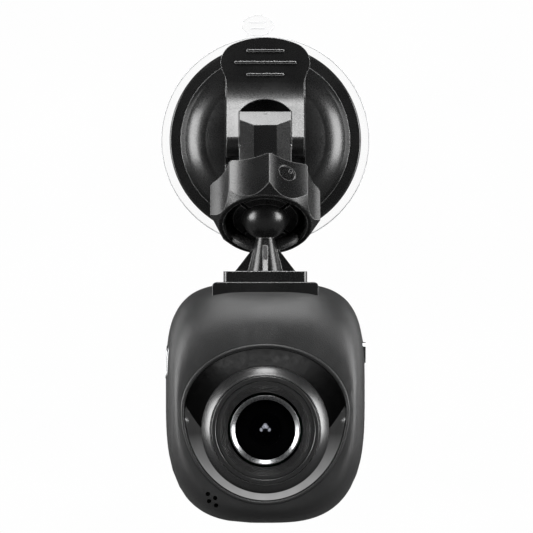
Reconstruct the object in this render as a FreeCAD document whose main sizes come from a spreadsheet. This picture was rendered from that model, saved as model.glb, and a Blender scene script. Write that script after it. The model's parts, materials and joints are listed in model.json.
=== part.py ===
"""A compact dash camera on a suction mount, as a parametric document.

Frame: the origin is the centre of the suction face, which lies on the windscreen plane y = 0. +Y points
through the glass, +Z is up and +X is to the right of a person who faces the lens. The camera hangs below
and in front of the suction cup. All sizes are in millimetres.
"""
import FreeCAD, Part

import math
import os
import re

import Sketcher

SIZES = [
    ("membrane_radius", 27.0, "clear suction sheet, outer radius"),
    ("membrane_edge", 1.4, "thickness of its flat edge"),
    ("membrane_lip", 21.5, "inner radius of the flat face on the glass"),
    ("membrane_dish", 1.6, "how far its centre is lifted off the glass"),
    ("membrane_back", 3.5, "depth of the back of its centre"),
    ("tab_x", -1.95, "pull tab, centre across"),
    ("tab_z", 29.8, "pull tab, centre up"),
    ("tab_half_width", 4.35, "pull tab, half width"),
    ("tab_half_height", 2.75, "pull tab, half height"),
    ("dome_radius", 24.75, "rigid dome, outer radius"),
    ("dome_skirt", 1.5, "depth where the skirt meets the sheet"),
    ("dome_shoulder", 4.9, "depth of the flat shoulder ring"),
    ("dome_face", 13.0, "depth of the face that carries the arm"),
    ("dome_wall", 1.8, "dome wall thickness"),
    ("dome_crown", 11.9, "depth of the dome under the saddle"),
    ("saddle_width", 20.4, "raised band that carries arm and lever"),
    ("cam_seat", 10.6, "depth of the two flats that the lever cams press on"),
    ("plunger_radius", 3.0, "plunger stem radius"),
    ("plunger_head", 8.0, "plunger head radius"),
    ("plunger_tip", 17.3, "depth of the plunger tip"),
    ("pin_depth", 15.5, "lever pin, depth of its axis when locked"),
    ("pin_height", -2.2, "lever pin, height of its axis"),
    ("pin_radius", 1.0, "lever pin radius"),
    ("pin_travel", 2.2, "plunger travel from locked to released"),
    ("running_gap", 0.05, "radial clearance of the parts that turn"),
    ("lever_gap", 13.5, "clear width between the lever legs"),
    ("lever_width", 19.8, "width over the lever legs"),
    ("paddle_width", 22.9, "width of the lever paddle"),
    ("lever_face", 14.9, "depth of the paddle's front"),
    ("lever_top", 25.9, "height of the paddle's tip"),
    ("arch_top", 10.1, "height of the arch between the legs"),
    ("arm_width", 13.2, "post width"),
    ("arm_face", 21.0, "depth of the post's front face"),
    ("arm_top", 6.8, "height of the post"),
    ("ball_depth", 29.0, "depth of the ball centre"),
    ("ball_drop", 20.0, "drop of the ball centre below the suction axis"),
    ("ball_radius", 5.9, "ball radius"),
    ("socket_tilt", 38.4, "socket axis, degrees forward of straight down"),
    ("socket_radius", 9.5, "outer radius of the split socket"),
    ("cup_radius", 8.0, "outer radius of the thrust cup"),
    ("pad_radius", 6.9, "outer radius of the friction pad"),
    ("nut_ridge", 13.9, "lock nut, radius over its ridges"),
    ("nut_length", 9.4, "lock nut, back face above the ball centre"),
    ("nut_nose", 2.9, "lock nut, front face below the ball centre"),
    ("nut_mouth", 10.65, "lock nut, radius of its mouth"),
    ("flute_radius", 15.0, "radius of the hollow flutes"),
    ("flute_depth", 1.95, "how deep the flutes cut below the ridges"),
    ("neck_radius", 2.3, "stem radius under the ball"),
    ("foot_top", -33.85, "height of the top of the foot plate"),
    ("foot_width", 20.9, "foot plate across"),
    ("foot_reach", 17.0, "foot plate front to back"),
    ("foot_plate", 2.7, "foot plate thickness"),
    ("neck_width", 12.0, "neck of the T section, across"),
    ("neck_height", 1.25, "neck of the T section, height"),
    ("flange_width", 18.0, "flange of the T section, across"),
    ("flange_height", 1.5, "flange of the T section, height"),
    ("rail_top", -36.6, "height of the rail block's top"),
    ("rail_width", 26.4, "rail block across"),
    ("rail_front", -38.0, "rail block, front face"),
    ("rail_back", -16.4, "rail block, back face and open end of its slot"),
    ("rail_height", 4.5, "rail block height"),
    ("slot_gap", 0.1, "clearance all round the T section"),
    ("slide_length", 15.0, "length of the T section, front to back"),
    ("body_half_width", 25.0, "camera body, half width"),
    ("body_rise", 28.4, "camera body, from its widest level to the top"),
    ("body_fall", 31.8, "camera body, from its widest level to the bottom"),
    ("body_level", -65.2, "height of the widest level"),
    ("body_middle", -27.5, "depth station of the largest outline"),
    ("body_front", -44.5, "front rim plane"),
    ("body_back", -15.5, "flat back plane"),
    ("body_parting", -25.0, "joint between front shell and rear cover"),
    ("shell_wall", 1.8, "shell wall thickness"),
    ("egg_half_width", 21.0, "front rim, half width"),
    ("egg_rise", 16.4, "front rim, from its widest level to its top"),
    ("egg_fall", 23.5, "front rim, from its widest level to its bottom"),
    ("egg_level", -68.1, "height of the front rim's widest level"),
    ("rim_width", 1.0, "width of the front rim"),
    ("lens_level", -73.0, "height of the lens axis"),
    ("barrel_base", 15.9, "lens barrel, base radius"),
    ("barrel_front", 13.6, "lens barrel, front radius"),
    ("barrel_nose", -47.0, "lens barrel, front plane"),
    ("funnel_radius", 9.25, "inner radius of the stepped funnel"),
    ("funnel_floor", -45.0, "depth of the funnel's inner edge"),
    ("ring_radius", 8.6, "bright ring, outer radius"),
    ("glass_radius", 7.4, "front lens radius"),
    ("cell_radius", 6.0, "lens cell, outer radius of its rear"),
    ("bore_radius", 4.2, "lens cell, bore radius"),
    ("board_front", -30.6, "main board, front face"),
    ("board_thickness", 1.2, "circuit board thickness"),
    ("window_level", -60.5, "screen window, centre height"),
    ("window_width", 33.0, "screen window, width"),
    ("window_height", 26.0, "screen window, height"),
    ("key_level", -81.0, "rear keys, height"),
    ("key_pitch", 6.0, "rear keys, spacing"),
    ("key_radius", 2.0, "rear keys, radius"),
    ("power_level", -54.2, "power button, height"),
    ("power_depth", -32.6, "power button and socket row, depth station"),
    ("power_length", 5.6, "power button, length"),
    ("power_width", 2.8, "power button, width"),
    ("usb_level", -56.6, "power socket, height"),
    ("card_level", -73.6, "memory card slot, height"),
    ("vent_level", -63.0, "highest speaker vent"),
    ("vent_pitch", 3.0, "speaker vents, spacing"),
    ("screw_radius", 0.8, "small screws, thread radius"),
    ("screw_head", 1.5, "small screws, head radius"),
]
NAMES = {name for name, _, _ in SIZES}
ARM_SCREWS = ["-9", "5.4"]
KEYS = ["menu_key", "up_key", "record_key", "down_key", "mode_key"]

doc = FreeCAD.newDocument("DashCamera")
sheet = doc.addObject("Spreadsheet::Sheet", "Sizes")
for row, (alias, amount, note) in enumerate(SIZES, 1):
    sheet.set(f"A{row}", alias)
    sheet.set(f"B{row}", str(amount))
    sheet.set(f"C{row}", note)
    sheet.setAlias(f"B{row}", alias)
doc.recompute()
nodes = {}


def bind(formula):
    """A formula of the size names, as an expression that reads the sheet."""
    return re.sub(r"[a-z]\w*", lambda m: "Sizes." + m[0] if m[0] in NAMES else m[0], str(formula))


def number(formula):
    """The present value of a formula of the size names."""
    found = sheet.evalExpression(str(formula))
    return float(getattr(found, "Value", found))


def node(name, thing):
    """Files an object as the sub-part of this name."""
    thing.Label = name
    nodes[name] = thing
    return thing


# ---- PartDesign helpers ------------------------------------------------------------------------

def new_body(name, x="0", y="0", z="0", tilt=None):
    """A body whose origin stands at x, y, z, and which is turned about X where tilt is given."""
    body = doc.addObject("PartDesign::Body", name)
    for axis, place in zip("xyz", (x, y, z)):
        body.setExpression(f"Placement.Base.{axis}", bind(place))
    if tilt:
        body.Placement.Rotation = FreeCAD.Rotation(FreeCAD.Vector(1, 0, 0), number(tilt))
        body.setExpression("Placement.Rotation.Angle", bind(tilt))
    return body


def new_sketch(body, plane, offset="0"):
    """A sketch on one of the body's own origin planes. On XZ a positive offset is towards -Y."""
    sketch = body.newObject("Sketcher::SketchObject", "Outline")
    base = next(f for f in body.Origin.OriginFeatures if f.Role == plane + "_Plane")
    sketch.AttachmentSupport = [(base, "")]
    sketch.MapMode = "FlatFace"
    sketch.setExpression("AttachmentOffset.Base.z", bind(offset))
    return sketch


def hold(sketch, kind, value, *where):
    """A dimension of the sketch, bound to the sheet."""
    at = sketch.addConstraint(Sketcher.Constraint(kind, *where, number(value)))
    sketch.setExpression(f"Constraints[{at}]", bind(value))


def trace(sketch, corners):
    """A closed outline. A corner is (x, y), or (x, y, radius) where an arc leads to the next corner."""
    points = [FreeCAD.Vector(number(c[0]), number(c[1]), 0) for c in corners]
    first = sketch.GeometryCount
    starts = []
    for corner, start, end in zip(corners, points, points[1:] + points[:1]):
        piece = Part.LineSegment(start, end)
        ends = (1, 2)
        if len(corner) == 3:
            radius = number(corner[2])
            half = (end - start).Length / 2
            side = FreeCAD.Vector(end.y - start.y, start.x - end.x, 0).normalize()
            sagitta = abs(radius) - math.sqrt(max(radius ** 2 - half ** 2, 0))
            middle = (start + end) / 2 + side * math.copysign(sagitta, radius)
            piece = Part.Arc(start, middle, end)
            ends = (1, 2) if radius > 0 else (2, 1)
        sketch.addGeometry(piece)
        starts.append(ends)
    count = len(corners)
    for i in range(count):
        following = (i + 1) % count
        where = (first + i, starts[i][1], first + following, starts[following][0])
        sketch.addConstraint(Sketcher.Constraint("Coincident", *where))
    for i, corner in enumerate(corners):
        hold(sketch, "DistanceX", corner[0], -1, 1, first + i, starts[i][0])
        hold(sketch, "DistanceY", corner[1], -1, 1, first + i, starts[i][0])
        if len(corner) == 3:
            hold(sketch, "Radius", f"abs({corner[2]})", first + i)


def ring(sketch, radius, x="0", y="0"):
    """A full circle in the sketch."""
    centre = FreeCAD.Vector(number(x), number(y), 0)
    at = sketch.addGeometry(Part.Circle(centre, FreeCAD.Vector(0, 0, 1), number(radius)))
    hold(sketch, "DistanceX", x, -1, 1, at, 3)
    hold(sketch, "DistanceY", y, -1, 1, at, 3)
    hold(sketch, "Radius", radius, at)


def rectangle(x, y, width, height):
    """The four corners of a rectangle about a centre."""
    signs = ((-1, -1), (1, -1), (1, 1), (-1, 1))
    return [(f"({x}) + {i} * ({width}) / 2", f"({y}) + {j} * ({height}) / 2") for i, j in signs]


def dish(radius, rise):
    """The sphere radius of a cap of this radius and rise, as a formula."""
    return f"(({radius})^2 + ({rise})^2) / (2 * ({rise}))"


def pad(body, sketch, length, both=False):
    """Raises the sketch by length, to both sides where asked."""
    made = body.newObject("PartDesign::Pad", "Pad")
    made.Profile = sketch
    made.Midplane = both
    made.setExpression("Length", bind(length))
    return made


def pocket(body, sketch, length, both=False, reverse=False):
    """Cuts the sketch to a depth against the sketch's normal, along it where reversed."""
    made = body.newObject("PartDesign::Pocket", "Pocket")
    made.Profile = sketch
    made.Midplane = both
    made.Reversed = reverse
    made.setExpression("Length", bind(length))
    return made


def spin(body, sketch, axis, cut=False):
    """A full revolution of the sketch about its own H or V axis, added or cut away."""
    made = body.newObject("PartDesign::Groove" if cut else "PartDesign::Revolution", "Turn")
    made.Profile = sketch
    made.ReferenceAxis = (sketch, [axis + "_Axis"])
    made.Angle = 360
    return made


def turned(name, corners, plane="YZ", axis="H", **place):
    """A body turned from one outline: about its Y axis from (y, radius), or about Z from (radius, z)."""
    body = new_body(name, **place)
    sketch = new_sketch(body, plane)
    trace(sketch, corners)
    spin(body, sketch, axis)
    return body


def repeat(body, feature, count):
    """The feature repeated round the body's Z axis."""
    pattern = body.newObject("PartDesign::PolarPattern", "Round")
    axis = next(f for f in body.Origin.OriginFeatures if f.Role == "Z_Axis")
    pattern.Originals = [feature]
    pattern.Axis = (axis, [""])
    pattern.Angle = 360
    pattern.Occurrences = count
    body.Tip = pattern
    return pattern


def soften(body, radius, wanted, kind="Fillet"):
    """Rounds or chamfers the edges of the body's last feature that wanted(edge) picks."""
    doc.recompute()
    base = body.Tip
    picked = [f"Edge{i}" for i, edge in enumerate(base.Shape.Edges, 1) if wanted(edge)]
    made = body.newObject("PartDesign::" + kind, kind)
    made.Base = (base, picked)
    made.setExpression("Radius" if kind == "Fillet" else "Size", bind(radius))
    doc.recompute()
    return made


# ---- Part helpers ------------------------------------------------------------------------------

def box(name, x, y, z):
    """A block from three (low, high) pairs of formulas."""
    made = doc.addObject("Part::Box", name)
    for axis, size, (low, high) in zip("xyz", ("Length", "Width", "Height"), (x, y, z)):
        made.setExpression(size, bind(f"({high}) - ({low})"))
        made.setExpression(f"Placement.Base.{axis}", bind(low))
    return made


def plate(name, width, height, level, front, thickness, radius):
    """A flat rounded plate that faces front, from its front plane back towards +Y."""
    body = new_body(name, z=level)
    sketch = new_sketch(body, "XZ", f"-({front}) - ({thickness})")
    trace(sketch, rectangle("0", "0", width, height))
    pad(body, sketch, thickness)
    soften(body, radius, lambda edge: edge.BoundBox.XLength + edge.BoundBox.ZLength < 0.01)
    return body


def rod(name, radius, x, y, z, length, along="Y"):
    """A cylinder from x, y, z, running along +X, +Y or +Z."""
    made = doc.addObject("Part::Cylinder", name)
    turns = {"X": ((0, 1, 0), 90), "Y": ((1, 0, 0), -90), "Z": ((0, 0, 1), 0)}
    axis, angle = turns[along]
    made.Placement.Rotation = FreeCAD.Rotation(FreeCAD.Vector(*axis), angle)
    made.setExpression("Radius", bind(radius))
    made.setExpression("Height", bind(length))
    for letter, place in zip("xyz", (x, y, z)):
        made.setExpression(f"Placement.Base.{letter}", bind(place))
    return made


def ball(name, radius, y="0", z="0", turn=0):
    """A sphere with its poles on Z and its seam on +X, or turned about Y from there."""
    made = doc.addObject("Part::Sphere", name)
    made.Placement.Rotation = FreeCAD.Rotation(FreeCAD.Vector(0, 1, 0), turn)
    made.setExpression("Radius", bind(radius))
    made.setExpression("Placement.Base.y", bind(y))
    made.setExpression("Placement.Base.z", bind(z))
    return made


def join(name, parts):
    """Several shapes as one."""
    made = doc.addObject("Part::MultiFuse", name)
    made.Shapes = parts
    return made


def cut(name, base, tools):
    """The base less the tools."""
    made = doc.addObject("Part::Cut", name)
    made.Base = base
    made.Tool = tools[0] if len(tools) == 1 else join(name + "_tools", tools)
    return made


def shared(name, first, second):
    """What two shapes have in common."""
    made = doc.addObject("Part::Common", name)
    made.Base = first
    made.Tool = second
    return made


def formed(name, shape):
    """A shape made with Part's own functions."""
    made = doc.addObject("Part::Feature", name)
    made.Shape = shape
    return made


def group(name, shapes):
    """Separate equal solids in one object."""
    made = doc.addObject("Part::Compound", name)
    made.Links = shapes
    return made


# ---- Suction mount -----------------------------------------------------------------------------

def suction_membrane():
    """Soft clear sheet: flat edge on the glass, a dished middle and a pull tab at its top."""
    body = turned("suction_membrane", [
        ("0", "membrane_lip"), ("0", "membrane_radius"), ("-membrane_edge", "membrane_radius"),
        ("-membrane_edge", "membrane_lip"), ("-membrane_back", "plunger_head"),
        ("-membrane_back", "0"), ("-membrane_dish", "0"),
    ])
    tab = new_sketch(body, "XZ", "0.1")
    bow = "-(tab_half_width^2 + tab_half_height^2) / (2 * tab_half_height)"
    trace(tab, [(f"tab_x {sign} tab_half_width", "tab_z", bow) for sign in "-+"])
    pad(body, tab, "membrane_edge - 0.2")
    root = new_sketch(body, "XZ", "0.1")
    trace(root, [
        ("tab_x - tab_half_width * 0.7", "membrane_radius - 1"),
        ("tab_x + tab_half_width * 0.7", "membrane_radius - 1"),
        ("tab_x + tab_half_width * 0.6", "tab_z - 1"),
        ("tab_x - tab_half_width * 0.6", "tab_z - 1"),
    ])
    pad(body, root, "membrane_edge - 0.2")
    ribs = new_sketch(body, "XZ", "membrane_edge - 0.1")
    for level in ("tab_z - 0.8", "tab_z + 0.8"):
        trace(ribs, rectangle("tab_x", level, "tab_half_width", "0.3"))
    pad(body, ribs, "0.25")
    node("suction_membrane", body)


def dome_housing():
    """Rigid dome over the sheet, with the raised saddle that carries the arm and the lever's cam seats."""
    outer = [
        ("-dome_skirt", "dome_radius"), ("-dome_shoulder + 0.6", "dome_radius", "0.6"),
        ("-dome_shoulder", "dome_radius - 0.6"), ("-dome_shoulder - 0.25", "21.8"),
        ("-7.3", "20.6", "9"), ("-10.4", "15.4", "26"), ("-dome_crown", "8"), ("-dome_crown", "0"),
        ("-dome_crown + dome_wall", "0"), ("-dome_crown + dome_wall", "7.4"), ("-8.7", "14.4"),
        ("-5.9", "19"),
        ("-3.5", "20.4"), ("-3.3", "22.6"), ("-dome_skirt", "22.6"),
    ]
    body = turned("dome_housing", outer)
    saddle = new_sketch(body, "YZ")
    trace(saddle, [
        ("-4.6", "-21.6"), ("-3.6", "-20.2"), ("-6.2", "-18.6"), ("-8.6", "-14.6"), ("-10.4", "-8"),
        ("-10.4", "8"), ("-8.6", "14.6"), ("-6.2", "18.6"), ("-3.6", "20.2"), ("-4.6", "21.6"),
        ("-8", "20.4", "12"), ("-11.6", "15", "20"), ("-dome_face", "9.4"),
        ("-dome_face", "-9.4", "20"), ("-11.6", "-15", "12"), ("-8", "-20.4"),
    ])
    pad(body, saddle, "saddle_width", both=True)
    seats = new_sketch(body, "XZ", "cam_seat")
    for side in ("-1", "1"):
        trace(seats, rectangle(f"{side} * (lever_gap + lever_width) / 4", "pin_height + 5.6",
                               "(lever_width - lever_gap) / 2 + 0.7", "20"))
    pocket(body, seats, "6", reverse=True)
    groove = new_sketch(body, "XZ", "pin_depth - pin_travel - pin_radius - 0.1")
    trace(groove, rectangle("0", "pin_height", "lever_gap + 1", "2 * pin_radius + 0.2"))
    pocket(body, groove, "4", reverse=True)
    bore = new_sketch(body, "XZ")
    ring(bore, "plunger_radius + running_gap")
    pocket(body, bore, "20", reverse=True)
    screws = new_sketch(body, "XZ")
    for level in ARM_SCREWS:
        ring(screws, "screw_radius + 0.1", "0", level)
    pocket(body, screws, "20", reverse=True)
    sinks = new_sketch(body, "XZ")
    for level in ARM_SCREWS:
        ring(sinks, "screw_head + 0.1", "0", level)
    pocket(body, sinks, "dome_crown - dome_wall + 1", reverse=True)
    node("dome_housing", body)


def plunger():
    """Disc and stem that pull the middle of the sheet, with the cross hole of the lever pin."""
    body = turned("plunger", [
        ("-membrane_back", "0"), ("-membrane_back", "plunger_head"),
        ("-membrane_back - 1.2", "plunger_head"), ("-membrane_back - 1.6", "plunger_radius"),
        ("-plunger_tip", "plunger_radius"), ("-plunger_tip", "0"),
    ])
    hole = new_sketch(body, "YZ")
    ring(hole, "pin_radius", "-pin_depth", "pin_height")
    pocket(body, hole, "20", both=True)
    node("plunger", body)


def plunger_spring():
    """Coil spring between the dome and the plunger head."""
    coils = 4
    mean_radius = 4.6
    wire_radius = 0.4
    start = -9.62
    length = 4.2
    helix = Part.makeLongHelix(length / coils, length, mean_radius)
    profile = Part.Wire(Part.makeCircle(
        wire_radius, FreeCAD.Vector(mean_radius, 0, 0), FreeCAD.Vector(0, 1, 0)))
    coil = Part.Wire(helix).makePipeShell([profile], True, True)
    spring = formed("plunger_spring", coil)
    spring.Placement = FreeCAD.Placement(
        FreeCAD.Vector(0, start, 0), FreeCAD.Rotation(FreeCAD.Vector(1, 0, 0), -90))
    node("plunger_spring", spring)


def lever_pin():
    """Steel cross pin that carries the lever on the plunger."""
    node("lever_pin", rod("lever_pin", "pin_radius", "-lever_width / 2 + 0.2", "-pin_depth",
                          "pin_height", "lever_width - 0.4", along="X"))


def lever():
    """Locking lever: two cam legs, an arch between them and a wide finger paddle."""
    body = new_body("lever")
    side = new_sketch(body, "YZ")
    trace(side, [
        ("-19.8", "0.3"), ("-16.9", "7.4", "19"), ("-lever_face", "14.4"), ("-lever_face", "lever_top + 1"),
        ("-lever_face + 1.75", "lever_top + 1"), ("-lever_face + 1.75", "5.4"), ("-cam_seat - 0.05", "2"),
        ("-cam_seat - 0.05", "pin_height + 1.4", "-4.2"),
        ("-pin_depth + 1.4", "pin_height - pin_travel - 0.45"),
        ("-16.6", "pin_height - pin_travel - 0.45", "-3.9"),
    ])
    pad(body, side, "paddle_width + 2", both=True)
    frame = new_sketch(body, "XZ", "5")
    trace(frame, rectangle("0", "12", "60", "60"))
    half = "lever_width / 2"
    wide = "paddle_width / 2"
    right = [(half, "-8"), (half, "13.2", "-8"), (f"{wide} - 0.7", "16.9", "5.4"), (wide, "19.4", "5.4"),
             (f"{wide} - 3.45", "lever_top - 1.6", "20.8")]
    left = [(f"3.45 - {wide}", "lever_top - 1.6", "5.4"), (f"-{wide}", "19.4", "5.4"),
            (f"0.7 - {wide}", "16.9", "-8"), (f"-{half}", "13.2"), (f"-{half}", "-8")]
    trace(frame, right + left)
    pocket(body, frame, "30", reverse=True)
    arch = new_sketch(body, "XZ", "5")
    trace(arch, [("-lever_gap / 2", "-9"), ("lever_gap / 2", "-9"),
                 ("lever_gap / 2", "arch_top - 3.3", "8.6"), ("-lever_gap / 2", "arch_top - 3.3")])
    pocket(body, arch, "30", reverse=True)
    hole = new_sketch(body, "YZ")
    ring(hole, "pin_radius + running_gap", "-pin_depth", "pin_height")
    pocket(body, hole, "40", both=True)
    ribs = new_sketch(body, "XZ", "lever_face - 0.5")
    for level, width in (("22.5", "9.4"), ("19.5", "15.6"), ("16.4", "9.4")):
        trace(ribs, rectangle("0", level, width, "0.5"))
    pad(body, ribs, "1.1")
    node("lever", body)


def socket_arm():
    """Post on the dome that ends in a split, threaded ball socket."""
    post = new_body("post")
    side = new_sketch(post, "YZ")
    trace(side, [
        ("-dome_face", "arm_top"), ("-dome_face - 4.6", "arm_top"), ("-arm_face", "arm_top - 3.5"),
        ("-arm_face", "-13.6"), ("-14.6", "-18.6"), ("-dome_face + 0.4", "-13"), ("-dome_face", "-12"),
    ])
    pad(post, side, "arm_width", both=True)
    facets = new_sketch(post, "XY", "arm_top + 1")
    for side in ("-1", "1"):
        trace(facets, [(f"{side} * 2.95", "-arm_face"), (f"{side} * (arm_width / 2 + 0.1)", "-arm_face"),
                       (f"{side} * (arm_width / 2 + 0.1)", "-arm_face + 1.4")])
    pocket(post, facets, "30")
    socket = new_body("socket", y="-ball_depth", z="-ball_drop", tilt="-socket_tilt")
    outline = new_sketch(socket, "XZ")
    trace(outline, [
        ("0", "-1"), ("socket_radius - 1.4", "-1"), ("socket_radius - 0.2", "0.6"),
        ("socket_radius", "0.9"), ("socket_radius", "10.9"), ("0", "10.9"),
    ])
    spin(socket, outline, "V")
    cup_ball = ball("cup_ball", "cup_radius + 0.05", turn=90)
    above = rod("above_step", "socket_radius", "0", "0", "0.6", "socket_radius", "Z")
    tools = join("socket_room", [
        shared("cup_room", cup_ball, above), ball("ball_room", "ball_radius + 0.1"),
        box("split_a", ("-0.5", "0.5"), ("-12", "12"), ("-3", "6")),
        box("split_b", ("-12", "12"), ("-0.5", "0.5"), ("-3", "6")),
    ])
    tools.Placement = FreeCAD.Placement(
        FreeCAD.Vector(0, -number("ball_depth"), -number("ball_drop")),
        FreeCAD.Rotation(FreeCAD.Vector(1, 0, 0), -number("socket_tilt")) *
        FreeCAD.Rotation(FreeCAD.Vector(0, 0, 1), 45))
    bore = rod("arm_bore", "plunger_radius + running_gap", "0", "-plunger_tip - 0.3", "0",
               "plunger_tip - dome_face + 1.3")
    slot = box("pin_slot", ("-arm_width", "arm_width"),
               ("-pin_depth - pin_radius - 0.1", "-pin_depth + pin_travel + pin_radius + 0.1"),
               ("pin_height - pin_radius - 0.1", "pin_height + pin_radius + 0.1"))
    pilots = [rod(f"arm_pilot_{i}", "screw_radius", "0", "-dome_face - 5.2", z, "6")
              for i, z in enumerate(ARM_SCREWS)]
    whole = join("arm_blank", [post, socket])
    node("socket_arm", cut("socket_arm", whole, [tools, bore, slot] + pilots))


def screw(name, x, y, z, length, along, sign):
    """A countersunk screw: head face at x, y, z, and its shank running sign-ways along an axis."""
    radius = number("screw_radius") - 0.01
    head = number("screw_head")
    direction = FreeCAD.Vector(along == "X", along == "Y", along == "Z") * sign
    base = FreeCAD.Vector(number(x), number(y), number(z))
    cone = Part.makeCone(head, radius, head - radius + 0.2, base, direction)
    shank = Part.makeCylinder(radius, number(length), base, direction)
    recess = Part.makeBox(0.5, 1.8, 0.5, FreeCAD.Vector(-0.25, -0.9, 0))
    crossed = recess.fuse(Part.makeBox(1.8, 0.5, 0.5, FreeCAD.Vector(-0.9, -0.25, 0)))
    crossed.Placement = FreeCAD.Placement(
        base, FreeCAD.Rotation(FreeCAD.Vector(0, 0, 1), direction))
    return formed(name, cone.fuse(shank).removeSplitter().cut(crossed))


def arm_screws():
    """The two screws that hold the arm, put in from inside the dome."""
    node("arm_screws", group("arm_screws", [
        screw(f"arm_screw_{i}", "0", "-dome_crown + dome_wall - 0.05", z, "7", "Y", -1)
        for i, z in enumerate(ARM_SCREWS)]))


def lock_nut():
    """Eight-sided lock nut: hollow flutes, a bevelled nose, and a round recess with a nub in one flute."""
    body = turned("lock_nut", [
        ("socket_radius + running_gap + 0.03", "nut_length"), ("nut_ridge - 0.4", "nut_length"),
        ("nut_ridge", "nut_length - 0.5"), ("nut_ridge", "-0.3"), ("nut_mouth + 1.15", "-nut_nose + 0.1"),
        ("nut_mouth + 0.9", "-nut_nose"), ("nut_mouth", "-nut_nose"), ("nut_mouth - 0.5", "-nut_nose + 0.9"),
        ("socket_radius + running_gap + 0.03", "-0.2"),
    ], plane="XZ", axis="V", y="-ball_depth", z="-ball_drop", tilt="-socket_tilt")
    flute = new_sketch(body, "XY", "nut_length + 1")
    angle = "(4.5 + 22.5 - 90)"
    reach = "(nut_ridge - flute_depth + flute_radius)"
    ring(flute, "flute_radius", f"{reach} * cos({angle} * 1 deg)", f"{reach} * sin({angle} * 1 deg)")
    first = pocket(body, flute, "30")
    repeat(body, first, 8)
    recess = rod("nut_recess", "2.3", "0", "0", "0", "4", along="X")
    nub = rod("nut_nub", "0.5", "0", "0", "0", "0.6", along="X")
    turn = FreeCAD.Rotation(FreeCAD.Vector(1, 0, 0), -number("socket_tilt"))
    turn = turn * FreeCAD.Rotation(FreeCAD.Vector(0, 0, 1), number(angle))
    outward = FreeCAD.Rotation(FreeCAD.Vector(0, 1, 0), 90)
    centre = FreeCAD.Vector(0, -number("ball_depth"), -number("ball_drop"))
    floor = number("nut_ridge - flute_depth") - 0.35
    for tool, place in ((recess, (floor, 0, 5.3)), (nub, (floor - 0.2, 1.1, 6.4))):
        for letter in "xyz":
            tool.setExpression(f"Placement.Base.{letter}", None)
        tool.Placement = FreeCAD.Placement(centre + turn * FreeCAD.Vector(*place), turn * outward)
    node("lock_nut", join("lock_nut", [cut("nut_recessed", body, [recess]), nub]))


def ball_joint_pads():
    """Thrust cup and friction pad behind the ball: two nested spherical caps about the stem axis."""
    for name, outer, inner, reach in (
            ("ball_thrust_cup", "cup_radius", "pad_radius + 0.02", 42),
            ("ball_friction_pad", "pad_radius", "ball_radius + 0.02", 38)):
        across = f"sin({reach} deg)"
        up = f"cos({reach} deg)"
        node(name, turned(name, [
            ("0", inner, f"-({inner})"), (f"({inner}) * {across}", f"({inner}) * {up}"),
            (f"({outer}) * {across}", f"({outer}) * {up}", outer), ("0", outer),
        ], plane="XZ", axis="V", y="-ball_depth", z="-ball_drop"))


def ball_stem():
    """Ball, coned stem with side gussets and a front rib, foot plate and the T section under it."""
    body = turned("ball_stem", [
        ("0", "ball_radius", "-ball_radius"), ("neck_radius", "-sqrt(ball_radius^2 - neck_radius^2)"),
        ("4.4", "foot_top + ball_drop"), ("0", "foot_top + ball_drop"),
    ], plane="XZ", axis="V", y="-ball_depth", z="-ball_drop")
    gusset = new_sketch(body, "XZ")
    trace(gusset, [("-3.4", "-8.4"), ("3.4", "-8.4"), ("7.6", "foot_top + ball_drop"),
                   ("-7.6", "foot_top + ball_drop")])
    pad(body, gusset, "1.6", both=True)
    rib = new_sketch(body, "YZ")
    trace(rib, [("-2", "-7.4"), ("-3.2", "-7.4"), ("-4.4", "-11"), ("-6", "foot_top + ball_drop"),
                ("-2", "foot_top + ball_drop")])
    pad(body, rib, "1.2", both=True)
    plate = new_sketch(body, "XY", "foot_top - foot_plate + ball_drop")
    trace(plate, rectangle("0", "0", "foot_width", "foot_reach"))
    pad(body, plate, "foot_plate")
    soften(body, "1.2", lambda e: e.BoundBox.ZLength > 2 and e.BoundBox.XLength < 0.01 and
           e.BoundBox.YLength < 0.01 and abs(e.BoundBox.XMin) > 10)
    neck = new_sketch(body, "XY", "rail_top - neck_height + ball_drop")
    trace(neck, rectangle("0", "0", "neck_width", "slide_length"))
    pad(body, neck, "neck_height + 0.1")
    flange = new_sketch(body, "XY", "rail_top - neck_height - flange_height + ball_drop")
    trace(flange, rectangle("0", "0", "flange_width", "slide_length"))
    pad(body, flange, "flange_height")
    node("ball_stem", body)


# ---- Camera shells -----------------------------------------------------------------------------

def oval(half_width, rise, fall, level, depth, powers=(2.0, 2.0), points=40):
    """A closed smooth outline at one depth: a superellipse with its own height and power each way."""
    found = []
    for i in range(points):
        angle = 2 * math.pi * i / points
        across = math.cos(angle)
        up = math.sin(angle)
        height, power = (rise, powers[0]) if up >= 0 else (fall, powers[1])
        reach = (abs(across / half_width) ** power + abs(up / height) ** power) ** (-1 / power)
        found.append(FreeCAD.Vector(reach * across, depth, level + reach * up))
    curve = Part.BSplineCurve()
    curve.interpolate(found, PeriodicFlag=True)
    return Part.Wire(curve.toShape())


def blend(first, second, share):
    """A value between first and second."""
    return first + (second - first) * share


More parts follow.
